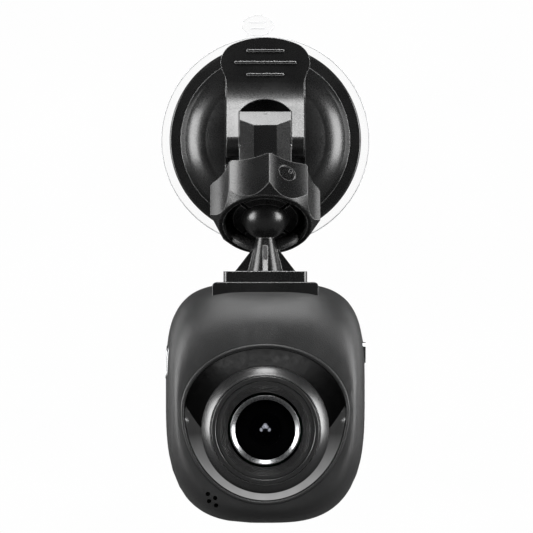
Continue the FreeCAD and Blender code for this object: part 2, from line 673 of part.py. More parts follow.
def pillow(inset, rim_inset):
    """The camera body as one solid: a squarish outline that narrows to the egg-shaped front rim."""
    largest = [number(n) - inset for n in ("body_half_width", "body_rise", "body_fall")]
    rim = [number(n) - rim_inset for n in ("egg_half_width", "egg_rise", "egg_fall")]
    middle = number("body_middle")
    front = number("body_front") + inset
    back = number("body_back") - inset
    back_depth = 14.0 - inset
    outline_powers = (3.8, 3.05)
    front_power = 2.4
    back_power = 4.0
    level = number("body_level")
    wires = []
    for i in range(5):
        depth = back + (middle - back) * i / 5
        scale = (1 - ((depth - middle) / back_depth) ** back_power) ** (1 / back_power)
        wires.append(oval(*[size * scale for size in largest], level, depth, outline_powers))
    steps = 8
    for i in range(steps + 1):
        angle = math.pi / 2 * i / steps
        share = 1 - max(math.cos(angle), 0.0) ** (2 / front_power)
        depth = blend(middle, front, math.sin(angle) ** (2 / front_power))
        sizes = [blend(a, b, share) for a, b in zip(largest, rim)]
        wires.append(oval(*sizes, blend(level, number("egg_level"), share), depth,
                          [blend(power, 2.0, share) for power in outline_powers]))
    return Part.makeLoft(wires, True, False)


def egg_plug(grow, near, far):
    """A straight plug of the front opening's outline, between two depths."""
    sizes = [number(n) - number("rim_width") + grow for n in ("egg_half_width", "egg_rise", "egg_fall")]
    level = number("egg_level") - 0.1
    return Part.makeLoft([oval(*sizes, level, near), oval(*sizes, level, far)], True, False)


def side_slot(name, x, y, z, length_y, length_z):
    """A cutter for a rounded opening through a side wall, centred at y, z."""
    return box(name, x, (f"({y}) - ({length_y}) / 2", f"({y}) + ({length_y}) / 2"),
               (f"({z}) - ({length_z}) / 2", f"({z}) + ({length_z}) / 2"))


BOSSES = [(-11.5, -45.2), (11.5, -45.2), (-16.0, -84.2), (16.0, -84.2)]


def shells():
    """Front shell and rear cover: the hollow pillow parted in two, with bosses and openings."""
    outer = formed("pillow_outer", pillow(0.0, 0.0))
    inner = formed("pillow_inner", pillow(number("shell_wall"), 0.3))
    hull = cut("hull", outer, [inner])
    ahead = box("ahead", ("-40", "40"), ("-60", "body_parting"), ("-110", "-20"))
    behind = box("behind", ("-40", "40"), ("body_parting", "0"), ("-110", "-20"))
    front_half = shared("front_half", hull, ahead)
    rear_half = shared("rear_half", hull, behind)
    posts = [rod(f"front_post_{i}", "1.8", x, "-43.4", z, "body_parting + 43.4")
             for i, (x, z) in enumerate(BOSSES)]
    shelf = box("shelf", ("-7", "7"), ("-39", "-26"), ("-43.6", "rail_top - rail_height - 0.05"))
    posts_inside = shared("posts_inside", join("posts", posts + [shelf]), outer)
    rail_hole = box("rail_hole", ("-rail_width / 2 - 0.05", "rail_width / 2 + 0.05"),
                    ("rail_front - 0.05", "-10"), ("rail_top - rail_height - 0.05", "-30"))
    opening = formed("front_opening", egg_plug(0.0, -46.0, -42.0))
    clearance = formed("bezel_room", egg_plug(0.55, -42.72, -38.0))
    pilots = [rod(f"front_pilot_{i}", "screw_radius", x, "-31", z, "8") for i, (x, z) in enumerate(BOSSES)]
    rail_pilots = [rod(f"rail_pilot_{i}", "screw_radius", x, "-31.5", "-50", "12", along="Z")
                   for i, x in enumerate(("-4", "4"))]
    vents = [side_slot(f"vent_{i}", ("22", "26"), "power_depth", f"vent_level - {i} * vent_pitch",
                       "7", "1.25")
             for i in range(5)]
    power = side_slot("power_opening", ("20", "26"), "power_depth", "power_level",
                      "power_width + 0.2", "power_length + 0.2")
    usb = side_slot("usb_opening", ("-26", "-18"), "power_depth", "usb_level", "4.2", "8")
    card = side_slot("card_opening", ("-26", "-18"), "board_front - 0.9", "card_level", "1.6", "12.4")
    holes = [rod(f"mic_hole_{i}", "0.55", x, "-46", z, "12") for i, (x, z) in enumerate(
        (("-14.2", "-88.9"), ("-12.4", "-89.9"), ("-13.9", "-90.75"), ("-12.2", "-91.8")))]
    front = join("front_blank", [front_half, posts_inside])
    node("front_shell", cut("front_shell", front, [rail_hole, opening, clearance, power, usb, card]
                            + pilots + rail_pilots + vents + holes))
    rear_posts = [rod(f"rear_post_{i}", "1.8", x, "body_parting", z, "-17 - body_parting")
                  for i, (x, z) in enumerate(BOSSES)]
    rear = join("rear_blank", [rear_half] + rear_posts)
    recess = plate("window_recess", "window_width + 0.2", "window_height + 0.2", "window_level",
                   "body_back - 1.2", "4", "2.1")
    through = plate("window_hole", "window_width - 3", "window_height - 3", "window_level", "-25", "12", "1")
    key_holes = [rod(f"key_hole_{i}", "key_radius + 0.1", f"{i - 2} * key_pitch", "-20", "key_level", "8")
                 for i in range(5)]
    lamp = rod("lamp_hole", "0.85", "15", "-20", "-77", "8")
    drills = [rod(f"cover_drill_{i}", "screw_radius + 0.1", x, "-26", z, "12")
              for i, (x, z) in enumerate(BOSSES)]
    heads = [rod(f"cover_sink_{i}", "screw_head + 0.15", x, "-16.95", z, "4")
             for i, (x, z) in enumerate(BOSSES)]
    node("rear_cover", cut("rear_cover", rear, [rail_hole, recess, through, lamp]
                           + key_holes + drills + heads))


def rail_block():
    """Block in the camera's top with a T slot, open at the back and stopped at the front."""
    block = plate("rail_blank", "rail_width", "rail_height", "rail_top - rail_height / 2",
                  "rail_front", "rail_back - rail_front", "0.9")
    slot = ("-ball_depth - slide_length / 2 - slot_gap", "rail_back + 1")
    neck = box("rail_neck", ("-neck_width / 2 - slot_gap", "neck_width / 2 + slot_gap"), slot,
               ("rail_top - neck_height - 0.2", "rail_top + 1"))
    flange = box("rail_flange", ("-flange_width / 2 - slot_gap", "flange_width / 2 + slot_gap"), slot,
                 ("rail_top - neck_height - flange_height - slot_gap", "rail_top - neck_height + slot_gap"))
    drills = [rod(f"rail_drill_{i}", "screw_head + 0.1", x, "-31.5", "rail_top - rail_height - 1", "4",
                  along="Z") for i, x in enumerate(("-4", "4"))]
    node("rail_block", cut("rail_block", block, [neck, flange] + drills))


def rail_screws():
    """The two screws that hold the rail block on the shelf of the front shell."""
    floor = "rail_top - neck_height - flange_height - slot_gap - 0.1"
    node("rail_screws", group("rail_screws", [
        screw(f"rail_screw_{i}", x, "-31.5", floor, "3.9", "Z", -1) for i, x in enumerate(("-4", "4"))]))


def case_screws():
    """The four screws that close the case from the back."""
    node("case_screws", group("case_screws", [
        screw(f"case_screw_{i}", x, "-16", z, "13", "Y", -1) for i, (x, z) in enumerate(BOSSES)]))


# ---- Lens --------------------------------------------------------------------------------------

def lens_bezel():
    """Egg-shaped glossy panel: flat at its rim, and a funnel down to the base of the lens barrel."""
    front = -43.6
    plug = egg_plug(-0.15, front, -40.6).fuse(egg_plug(0.3, -42.65, -40.6))
    level = number("lens_level")
    floor = -42.2
    sizes = [number(n) - number("rim_width") - 0.55 for n in ("egg_half_width", "egg_rise", "egg_fall")]
    base = number("barrel_base") + 0.05
    mouth = oval(*sizes, number("egg_level") - 0.1, front)
    above = oval(*sizes, number("egg_level") - 0.1, -48.0)
    seat = oval(base, base, base, level, floor)
    funnel = Part.makeLoft([mouth, seat], True, True)
    bore = Part.makeCylinder(base - 1.4, 12, FreeCAD.Vector(0, -50, level), FreeCAD.Vector(0, 1, 0))
    room = Part.makeLoft([above, mouth], True, True)
    node("lens_bezel", formed("lens_bezel", plug.cut(funnel).cut(bore).cut(room)))


def lens_barrel():
    """Coned barrel with a stepped, grooved funnel in its front."""
    grooves = 7
    wall = [("-42.25", "barrel_base"), ("barrel_nose + 0.25", "barrel_front + 0.15"),
            ("barrel_nose", "barrel_front - 0.1"), ("barrel_nose", "13.35"), ("barrel_nose + 0.5", "13.3"),
            ("barrel_nose + 0.5", "13.15"), ("barrel_nose + 0.1", "13.1"), ("barrel_nose + 0.45", "12.2")]
    steps = []
    for i in range(grooves):
        share = f"({i} / {grooves})"
        outer = f"12.1 - (12.1 - funnel_radius) * {share}"
        depth = f"barrel_nose + 0.6 + (funnel_floor - barrel_nose - 0.6) * {share}"
        steps += [(f"{depth} + 0.35", f"{outer} - 0.02"), (f"{depth} + 0.35", f"{outer} - 0.14"),
                  (depth, f"{outer} - 0.16"), (f"{depth} + 0.08", f"{outer} - 0.36")]
    tail = [("funnel_floor + 0.2", "funnel_radius"), ("-42.4", "funnel_radius"), ("-40.8", "funnel_radius"),
            ("-40.8", "14.45"), ("-42.25", "14.45")]
    node("lens_barrel", turned("lens_barrel", wall + steps + tail, z="lens_level"))


def lens_stack():
    """Lens cell, its bright front ring and the glass inside it."""
    edge = "bore_radius - 0.05"
    node("lens_ring", turned("lens_ring", [
        ("-46.2", "ring_radius"), ("-46.3", "ring_radius - 0.15"), ("-44.9", "glass_radius + 0.1"),
        ("-44.45", "glass_radius + 0.1"), ("-44.45", "ring_radius")], z="lens_level"))
    front = dish("glass_radius", 1.6)
    blank = rod("front_lens_blank", "glass_radius", "0", "-46", "lens_level", "3.4")
    domed = shared("front_lens_domed", blank, ball("front_lens_ball", front, f"-46 + {front}", "lens_level"))
    hollow = ball("front_lens_hollow", dish(4.6, 1.2), f"-43.8 + {dish(4.6, 1.2)}", "lens_level")
    node("front_lens", cut("front_lens", domed, [hollow]))
    node("lens_cell", turned("lens_cell", [
        ("-44.4", "glass_radius + 0.05"), ("-44.4", "ring_radius"), ("-41.4", "ring_radius"),
        ("-41.4", "cell_radius"), ("-35.8", "cell_radius"), ("-35.8", "3.4"), ("-36.1", "3.4"),
        ("-36.1", "bore_radius"), ("-42.55", "bore_radius"), ("-42.55", "glass_radius + 0.05")],
        z="lens_level"))
    blank = rod("middle_lens_blank", edge, "0", "-41.6", "lens_level", "2.3")
    before = ball("middle_lens_before", dish(edge, 1), f"-41.6 + {dish(edge, 1)}", "lens_level")
    behind = ball("middle_lens_behind", dish(edge, 0.7), f"-39.3 - {dish(edge, 0.7)}", "lens_level")
    node("middle_lens", shared("middle_lens", shared("middle_lens_domed", blank, before), behind))
    node("aperture_stop", turned("aperture_stop", [
        ("-39.1", "1.9"), ("-39.1", edge), ("-38.8", edge), ("-38.8", "2.3")], z="lens_level"))
    blank = rod("rear_lens_blank", edge, "0", "-38.4", "lens_level", "1.9")
    domed = ball("rear_lens_ball", dish(edge, 0.8), f"-38.4 + {dish(edge, 0.8)}", "lens_level")
    node("rear_lens", shared("rear_lens", blank, domed))


def lens_holder():
    """Threaded tube on a square foot that carries the lens cell over the image sensor."""
    level = "lens_level"
    tube = rod("holder_tube", "cell_radius + 1.6", "0", "-40.9", level, "7.7")
    foot = box("holder_foot", ("-8", "8"), ("-34.9", "-33.2"), (f"{level} - 8", f"{level} + 8"))
    bore = rod("holder_bore", "cell_radius + 0.03", "0", "-42", level, "6.6")
    window = box("holder_window", ("-4.2", "4.2"), ("-36", "-33"), (f"{level} - 4.2", f"{level} + 4.2"))
    node("lens_holder", cut("lens_holder", join("holder_blank", [tube, foot]), [bore, window]))


def sensor():
    """Infra-red filter, image sensor, its board and the connector to the main board."""
    level = "lens_level"
    node("ir_filter", box("ir_filter", ("-4", "4"), ("-35.1", "-34.7"), (f"{level} - 4", f"{level} + 4")))
    node("image_sensor", box("image_sensor", ("-3.8", "3.8"), ("-34.2", "-33.2"),
                             (f"{level} - 3.8", f"{level} + 3.8")))
    node("sensor_board", box("sensor_board", ("-10", "10"), ("-33.2", "-32.2"),
                             (f"{level} - 10", f"{level} + 10")))
    node("board_connector", box("board_connector", ("-5", "5"), ("-32.2", "board_front"),
                                (f"{level} + 5.4", f"{level} + 8.4")))


# ---- Electronics -------------------------------------------------------------------------------

def boards():
    """Main board and the key board behind it, with their chips."""
    front = "board_front"
    main = box("main_blank", ("-19", "19"), (front, f"{front} + board_thickness"), ("-81.6", "-48"))
    marks = [rod(f"main_hole_{i}", "1.1", x, "-32", z, "4") for i, (x, z) in enumerate(
        (("-17", "-50"), ("17", "-50"), ("-17", "-79.6"), ("17", "-79.6")))]
    node("main_board", cut("main_board", main, marks))
    node("processor_chip", box("processor_chip", ("0", "10"), (f"{front} - 1.1", front), ("-58", "-49.6")))
    node("heat_spreader", box("heat_spreader", ("-1.5", "11.5"), (f"{front} - 2.6", f"{front} - 1.1"),
                              ("-59", "-48.8")))
    node("memory_chip", box("memory_chip", ("-12", "-4"), (f"{front} - 1", front), ("-56.6", "-50.4")))
    node("key_board", box("key_board", ("-13.9", "13.9"), ("-20.6", "-19.6"), ("-85", "-77.6")))
    switches = []
    for i in range(5):
        centre = f"{i - 2} * key_pitch"
        can = box(f"switch_can_{i}", (f"{centre} - 1.7", f"{centre} + 1.7"), ("-19.6", "-18.5"),
                  ("key_level - 1.7", "key_level + 1.7"))
        nub = rod(f"switch_nub_{i}", "0.9", centre, "-18.7", "key_level", "0.6")
        switches.append(join(f"switch_{i}", [can, nub]))
    node("key_switches", group("key_switches", switches))
    node("status_lamp", rod("status_lamp", "0.8", "15", "-19.2", "-77", "3.9"))
    node("battery", plate("battery", "30", "26", "-62.6", "-26.6", "4.6", "2"))


def keys():
    """The five round keys under the screen."""
    for i, name in enumerate(KEYS):
        node(name, turned(name, [
            ("-14.95", "0"), ("-14.95", "key_radius - 0.3", "0.3"), ("-15.25", "key_radius"),
            ("-17.35", "key_radius"), ("-17.35", "key_radius + 0.5"), ("-17.6", "key_radius + 0.5"),
            ("-17.6", "0")], x=f"{i - 2} * key_pitch", z="key_level"))


def power_parts():
    """Power button in the right wall and the switch that it presses."""
    body = new_body("power_button", y="power_depth", z="power_level")
    cap = new_sketch(body, "YZ", "25.1")
    half = "power_width / 2"
    straight = "(power_length - power_width) / 2"
    end_radius = f"{half} + 0.02"
    trace(cap, [(f"-{half}", f"-{straight}", end_radius), (half, f"-{straight}"),
                (half, straight, end_radius), (f"-{half}", straight)])
    made = pad(body, cap, "3.15")
    made.Reversed = True
    flange = new_sketch(body, "YZ", "22.3")
    trace(flange, rectangle("0", "0", "power_width + 1", "power_length + 1"))
    base = pad(body, flange, "0.4")
    base.Reversed = True
    node("power_button", body)
    can = box("power_can", ("16.2", "19.6"), ("board_front - 3.4", "board_front"),
              ("power_level - 3", "power_level + 3"))
    nub = rod("power_nub", "0.8", "19.4", "power_depth", "power_level", "1.8", along="X")
    node("power_switch", join("power_switch", [can, nub]))


def sockets():
    """Power socket and memory card socket on the left edge of the main board."""
    port = box("usb_case", ("-23.6", "-15.8"), ("power_depth - 2", "power_depth + 2"),
               ("usb_level - 3.85", "usb_level + 3.85"))
    hollow = box("usb_hollow", ("-25", "-17"), ("power_depth - 1.6", "power_depth + 1.6"),
                 ("usb_level - 3.45", "usb_level + 3.45"))
    tongue = box("usb_tongue", ("-22.6", "-16.5"), ("power_depth - 0.45", "power_depth + 0.45"),
                 ("usb_level - 2.6", "usb_level + 2.6"))
    node("usb_port", join("usb_port", [cut("usb_shell", port, [hollow]), tongue]))
    case = box("card_case", ("-22", "-10.4"), ("board_front - 1.7", "board_front"),
               ("card_level - 6.6", "card_level + 6.6"))
    slot = box("card_slot", ("-24", "-11"), ("board_front - 1.35", "board_front - 0.4"),
               ("card_level - 5.6", "card_level + 5.6"))
    node("card_socket", cut("card_socket", case, [slot]))


def screen():
    """Screen window and the display panel behind it."""
    size = ("window_width", "window_height", "window_level")
    node("screen_window", plate("screen_window", *size, "body_back - 1.15", "1.05", "2"))
    node("display_panel", plate("display_panel", *size, "-19.9", "2.4", "1"))


def sound_parts():
    """Speaker behind the vents, and the microphone with its seal behind the four small holes."""
    depth = "power_depth"
    basket = box("speaker_case", ("19.7", "21.6"), (f"{depth} - 3.6", f"{depth} + 3.6"), ("-76", "-62"))
    cone = rod("speaker_cone", "3.2", "21.2", depth, "-69", "0.8", along="X")
    node("speaker", join("speaker", [basket, cone]))
    node("microphone", rod("microphone", "2", "-13.2", "-34.6", "-89", "2.4"))
    tube = rod("seal_tube", "2.6", "-13.2", "-36.4", "-89", "4")
    hole = rod("seal_hole", "2.02", "-13.2", "-37", "-89", "6")
    node("microphone_seal", cut("microphone_seal", tube, [hole]))


def build():
    """Makes every sub-part."""
    for make in (suction_membrane, dome_housing, plunger, plunger_spring, lever_pin, lever, socket_arm,
                 arm_screws, lock_nut, ball_joint_pads, ball_stem, shells, rail_block, rail_screws,
                 case_screws, lens_bezel, lens_barrel, lens_stack, lens_holder, sensor, boards, keys,
                 power_parts, sockets, screen, sound_parts):
        make()
        doc.recompute()


def check():
    """Stops on any failed object or bad shape."""
    for thing in doc.Objects:
        if {"Invalid", "Error"} & set(thing.State):
            raise RuntimeError(f"{thing.Name} ({thing.Label}) failed")
    for name, thing in nodes.items():
        if thing.Shape.isNull() or not thing.Shape.isValid() or not thing.Shape.Solids:
            raise RuntimeError(f"{name} has a bad shape")


def write():
    """One STEP file for each sub-part."""
    os.makedirs("parts", exist_ok=True)
    for name, thing in nodes.items():
        thing.Shape.exportStep(f"parts/{name}.step")


build()
check()
write()
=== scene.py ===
"""Dash camera on its suction mount: materials, fine detail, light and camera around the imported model."""
import json
import math

import bmesh
import bpy
import numpy as np
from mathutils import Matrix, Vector

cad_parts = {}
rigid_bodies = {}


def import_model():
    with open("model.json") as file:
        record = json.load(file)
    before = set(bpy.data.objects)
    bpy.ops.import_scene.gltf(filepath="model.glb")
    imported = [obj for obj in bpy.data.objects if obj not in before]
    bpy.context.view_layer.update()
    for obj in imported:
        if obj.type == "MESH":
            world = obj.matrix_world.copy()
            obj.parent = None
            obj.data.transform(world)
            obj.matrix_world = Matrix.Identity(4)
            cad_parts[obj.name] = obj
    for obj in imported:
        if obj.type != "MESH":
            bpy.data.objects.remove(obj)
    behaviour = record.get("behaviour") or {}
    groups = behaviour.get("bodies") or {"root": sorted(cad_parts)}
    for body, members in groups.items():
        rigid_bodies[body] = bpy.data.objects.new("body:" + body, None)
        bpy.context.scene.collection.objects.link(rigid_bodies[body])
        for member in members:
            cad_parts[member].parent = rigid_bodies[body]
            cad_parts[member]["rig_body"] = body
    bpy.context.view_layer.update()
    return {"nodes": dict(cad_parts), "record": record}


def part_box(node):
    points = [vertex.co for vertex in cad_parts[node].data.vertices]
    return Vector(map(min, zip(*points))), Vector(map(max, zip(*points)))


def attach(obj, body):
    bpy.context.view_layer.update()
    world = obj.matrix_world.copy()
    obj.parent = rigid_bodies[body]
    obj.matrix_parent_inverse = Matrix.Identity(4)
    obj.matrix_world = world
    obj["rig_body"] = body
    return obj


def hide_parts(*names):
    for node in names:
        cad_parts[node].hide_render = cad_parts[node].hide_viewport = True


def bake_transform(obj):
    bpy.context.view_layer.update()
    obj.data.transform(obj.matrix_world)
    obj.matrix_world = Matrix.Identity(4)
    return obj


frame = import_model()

MM = 0.001
VIEW_DISTANCE = 0.9          # from the camera to the ball joint
VIEW_WIDTH = 0.13405         # what the frame spans at that distance
SENSOR_WIDTH = 36.0
VIEW_HEIGHT = -0.03265       # level of the line of sight
VIEW_SIDE = 0.0003           # how far the line of sight lies right of the middle
CARD_DEPTH = -0.93           # the small card that the glossy panel reflects, below the view camera
CARD_LEVEL = -0.079
EDGE_STARTS = 0.985          # face and rounded normal agree this much where a painted edge highlight starts
EDGE_FULL = 0.93             # and where the line is full
CRESCENT_TOP, CRESCENT_BOTTOM = -74.0, -91.0     # levels between which the crescent's painted reflection brightens, millimetres
# directions that the inner element's painted lamp reflections face
LAMP_DIRECTIONS = ((-0.55, -0.8, -0.1), (0.55, -0.8, -0.1), (0.0, -0.8, 0.6),
                   (-0.2, -0.95, 0.3), (0.2, -0.95, 0.3))
SLOTS = {part["node"]: part["material_slot"] for part in frame["record"]["subparts"]}


# ---- Node helpers ------------------------------------------------------------------------------

class Nodes:
    """A short way to write a material's nodes."""

    def __init__(self, name):
        self.material = bpy.data.materials.new(name)
        self.material.use_nodes = True
        self.tree = self.material.node_tree
        self.tree.nodes.clear()
        self.output = self.tree.nodes.new("ShaderNodeOutputMaterial")
        self.coordinates = self.tree.nodes.new("ShaderNodeTexCoord")

    def add(self, kind, inputs=(), **settings):
        made = self.tree.nodes.new("ShaderNode" + kind)
        for key, value in settings.items():
            setattr(made, key, value)
        for key, value in dict(inputs).items():
            if isinstance(value, bpy.types.NodeSocket):
                self.tree.links.new(value, made.inputs[key])
            else:
                made.inputs[key].default_value = value
        return made

    def place(self):
        """Object coordinates in millimetres."""
        return self.add("VectorMath", {0: self.coordinates.outputs["Object"], 1: (1000.0,) * 3},
                        operation="MULTIPLY").outputs[0]

    def noise(self, size, detail=3.0, roughness=0.5, where=None):
        """Noise whose grains are about this many millimetres across."""
        return self.add("TexNoise", {"Vector": where or self.place(), "Scale": 1.0 / size,
                                     "Detail": detail, "Roughness": roughness}).outputs["Fac"]

    def spread(self, value, low, high, start=0.0, end=1.0):
        """Maps value from low..high to start..end."""
        return self.add("MapRange", {"Value": value, "From Min": low, "From Max": high,
                                     "To Min": start, "To Max": end}).outputs[0]

    def maths(self, kind, first, second=0.0):
        return self.add("Math", {0: first, 1: second}, operation=kind).outputs[0]

    def mix(self, share, first, second):
        made = self.add("Mix", {"Factor": share}, data_type="RGBA")
        for socket, value in ((made.inputs[6], first), (made.inputs[7], second)):
            if isinstance(value, bpy.types.NodeSocket):
                self.tree.links.new(value, socket)
            else:
                socket.default_value = value
        return made.outputs[2]

    def bump(self, height, strength, distance, under=None):
        inputs = {"Height": height, "Strength": strength, "Distance": distance * MM}
        if under:
            inputs["Normal"] = under
        return self.add("Bump", inputs).outputs[0]

    def rounded(self, radius):
        """The normal with every edge rounded to this radius in millimetres."""
        return self.add("Bevel", {"Radius": radius * MM}, samples=6).outputs[0]

    def surface(self, **inputs):
        """A principled surface; input names have underscores for spaces."""
        made = self.add("BsdfPrincipled", {k.replace("_", " "): v for k, v in inputs.items()})
        self.tree.links.new(made.outputs[0], self.output.inputs["Surface"])
        return self.material


def grey(value, tint=0.0):
    """A grey that leans to blue by the tint."""
    return (value * (1 - tint), value, value * (1 + tint), 1.0)


def moulded(name, shade, roughness, grain, depth, spread=0.08, specular=0.5, edge=0.0, shine=0.0):
    """Moulded plastic: fine spark-eroded grain, cloudy colour and roughness, and a painted highlight along
    its edges.
    """
    n = Nodes(name)
    fine = n.noise(grain, 2.0, 0.6)
    clouds = n.noise(9.0, 3.0)
    colour = n.mix(clouds, grey(shade * 0.86, 0.01), grey(shade * 1.14, 0.01))
    rough = n.spread(n.maths("ADD", n.maths("MULTIPLY", fine, 0.6), n.maths("MULTIPLY", clouds, 0.4)),
                     0.3, 0.7, roughness - spread, roughness + spread)
    round_off = n.rounded(edge) if edge else None
    if edge:
        flat = n.add("NewGeometry").outputs["Normal"]
        turn = n.add("VectorMath", {0: round_off, 1: flat}, operation="DOT_PRODUCT").outputs["Value"]
        # painted highlight: where the rounded normal turns from the face's own, the colour goes to the grey
        # of shine
        colour = n.mix(n.spread(turn, EDGE_STARTS, EDGE_FULL), colour, grey(shine))
    return n.surface(Base_Color=colour, Roughness=rough, Normal=n.bump(fine, depth, grain * 0.25, round_off),
                     Specular_IOR_Level=specular)


def metal(name, shade, roughness, size=0.4):
    """Plated or turned metal with fine scratches and handling marks."""
    n = Nodes(name)
    marks = n.noise(size, 4.0, 0.7)
    stains = n.noise(5.0, 2.0)
    colour = n.mix(stains, grey(shade * 0.92, 0.015), grey(shade * 1.05, 0.015))
    return n.surface(Base_Color=colour, Metallic=1.0,
                     Roughness=n.spread(marks, 0.3, 0.7, roughness * 0.7, roughness * 1.3),
                     Normal=n.bump(marks, 0.12, size * 0.1))


def coated_glass(name, tint, shine, see=0.0):
    """Coated glass: dark or see-through face on, with a faint coloured sheen painted into its colour, growing
    towards its edge.
    """
    n = Nodes(name)
    facing = n.add("LayerWeight", {"Blend": 0.3}).outputs["Facing"]
    dust = n.noise(0.5, 2.0)
    # painted sheen: the colour turns from near-black face on to the tint towards the edge
    colour = n.mix(facing, (0.0015, 0.0015, 0.002, 1.0), tint)
    face = n.add("BsdfPrincipled", {"Base Color": colour, "Roughness": n.spread(dust, 0.4, 0.8, 0.02, 0.05),
                                    "Specular IOR Level": shine})
    clear = n.add("BsdfTransparent", {"Color": (0.9, 0.9, 0.92, 1.0)})
    share = n.spread(facing, 0.0, 0.8, see, see * 0.4)
    both = n.add("MixShader", {0: share, 1: face.outputs[0], 2: clear.outputs[0]})
    n.tree.links.new(both.outputs[0], n.output.inputs["Surface"])
    return n.material


def element_glass(name):
    """The coated inner element: black, with small glowing spots on its dome that are painted reflections of
    lamps.
    """
    n = Nodes(name)
    painted_reflection = 0.0
    # painted reflection: a glowing spot wherever the dome's normal faces one of these directions
    for direction in LAMP_DIRECTIONS:
        toward = n.add("VectorMath", {0: n.coordinates.outputs["Normal"], 1: Vector(direction).normalized()},
                       operation="DOT_PRODUCT").outputs["Value"]
        painted_reflection = n.maths("ADD", n.spread(toward, 0.955, 0.99), painted_reflection)
    grain = n.spread(n.noise(0.5), 0.35, 0.65, 0.5, 1.0)
    return n.surface(Base_Color=(0.004, 0.004, 0.005, 1.0), Roughness=n.spread(grain, 0.5, 1.0, 0.04, 0.1),
                     Emission_Color=(0.9, 0.93, 1.0, 1.0),
                     Emission_Strength=n.maths("MULTIPLY", n.maths("MULTIPLY", painted_reflection, grain), 0.9))


def crescent(name):
    """Polished slope below the barrel; its glow is a painted reflection of a pale table, brighter further
    down.
    """
    n = Nodes(name)
    level = n.add("SeparateXYZ", {0: n.place()}).outputs["Z"]
    painted_reflection = n.spread(level, CRESCENT_TOP, CRESCENT_BOTTOM, 0.03, 0.36)
    painted_reflection = n.maths("MULTIPLY", painted_reflection, n.spread(n.noise(4.0), 0.3, 0.7, 0.92, 1.08))
    return n.surface(Base_Color=(0.01, 0.01, 0.01, 1.0),
                     Roughness=n.spread(n.noise(1.0), 0.3, 0.7, 0.12, 0.2),
                     Emission_Color=(1.0, 1.0, 1.0, 1.0), Emission_Strength=painted_reflection)


def circuit(name):
    """Solder mask with copper tracks under it."""
    n = Nodes(name)
    tracks = n.add("TexBrick", {"Vector": n.place(), "Scale": 0.45, "Mortar Size": 0.03,
                                "Color1": (0.010, 0.075, 0.035, 1.0), "Color2": (0.012, 0.085, 0.04, 1.0),
                                "Mortar": (0.03, 0.16, 0.08, 1.0)})
    return n.surface(Base_Color=tracks.outputs["Color"],
                     Roughness=n.spread(n.noise(0.6), 0.3, 0.7, 0.25, 0.4),
                     Normal=n.bump(tracks.outputs["Fac"], 0.3, 0.05))


def clear_sheet(name):
    """Clear soft polyurethane: nearly invisible face on, grey where the sheet is seen on edge."""
    n = Nodes(name)
    waves = n.noise(6.0, 2.0)
    facing = n.add("LayerWeight", {"Blend": 0.25}).outputs["Facing"]
    see = n.spread(facing, 0.15, 0.95, 0.015, 0.6)
    clear = n.add("BsdfTransparent", {"Color": (0.985, 0.985, 0.985, 1.0)})
    solid = n.add("BsdfPrincipled", {"Base Color": grey(0.8), "Specular IOR Level": 0.4,
                                     "Roughness": n.spread(waves, 0.3, 0.7, 0.08, 0.16)})
    both = n.add("MixShader", {0: see, 1: clear.outputs[0], 2: solid.outputs[0]})
    n.tree.links.new(both.outputs[0], n.output.inputs["Surface"])
    return n.material


MATERIALS = {
    "matte_shell": moulded("matte_shell", 0.016, 0.44, 0.22, 1.0, specular=0.5),
    "satin_black": moulded("satin_black", 0.006, 0.27, 0.20, 0.2, specular=0.55, edge=0.22, shine=0.22),
    "plain_plastic": moulded("plain_plastic", 0.022, 0.36, 0.18, 0.35),
    "pad_plastic": moulded("pad_plastic", 0.55, 0.4, 0.2, 0.2),
    "crescent": crescent("crescent"),
    "gloss_panel": moulded("gloss_panel", 0.004, 0.07, 1.2, 0.004, spread=0.02, specular=0.5),
    "barrel_black": moulded("barrel_black", 0.012, 0.30, 0.12, 0.1, specular=0.8, edge=0.05, shine=0.12),
    "ring_metal": metal("ring_metal", 0.32, 0.30),
    "lens_glass": coated_glass("lens_glass", (0.006, 0.005, 0.008, 1.0), 0.02, 0.85),
    "clear_soft": clear_sheet("clear_soft"),
    "steel": metal("steel", 0.5, 0.25),
    "circuit_board": circuit("circuit_board"),
    "chip_black": moulded("chip_black", 0.03, 0.5, 0.1, 0.4),
    "screen_glass": coated_glass("screen_glass", (0.01, 0.011, 0.014, 1.0), 0.4),
    "key_black": moulded("key_black", 0.03, 0.28, 0.15, 0.2),
    "button_chrome": metal("button_chrome", 0.35, 0.22),
    "lamp_clear": moulded("lamp_clear", 0.5, 0.2, 0.3, 0.1),
    "battery_foil": metal("battery_foil", 0.6, 0.35, 1.0),
    # partly own black, partly painted shade: near-black and almost without reflection, for parts deep in the
    # lens bore and the nut's mouth
    "painted_shade_black": moulded("painted_shade_black", 0.002, 0.8, 0.2, 0.1, specular=0.05),
    "element_glass": element_glass("element_glass"),
    "sheet_edge": moulded("sheet_edge", 0.6, 0.5, 0.5, 0.1, spread=0.05, specular=0.1),
    "seal_rubber": moulded("seal_rubber", 0.012, 0.75, 0.3, 0.6),
}

# Nodes that don't wear their slot's material.
# the lens cell, stop, holder and the ball's pads: partly their own black, partly painted shade of the bore
# and the nut's mouth
SPECIAL = {"lens_cell": "painted_shade_black", "aperture_stop": "painted_shade_black", "lens_holder": "painted_shade_black",
           "ball_friction_pad": "painted_shade_black", "ball_thrust_cup": "painted_shade_black", "rail_block": "satin_black"}


def dress_frame():
    """Gives every CAD node its material: the one in SPECIAL, or else its slot's."""
    for node, slot in SLOTS.items():
        materials = frame["nodes"][node].data.materials
        materials.clear()
        materials.append(MATERIALS[SPECIAL.get(node, slot)])


# ---- Geometry helpers --------------------------------------------------------------------------

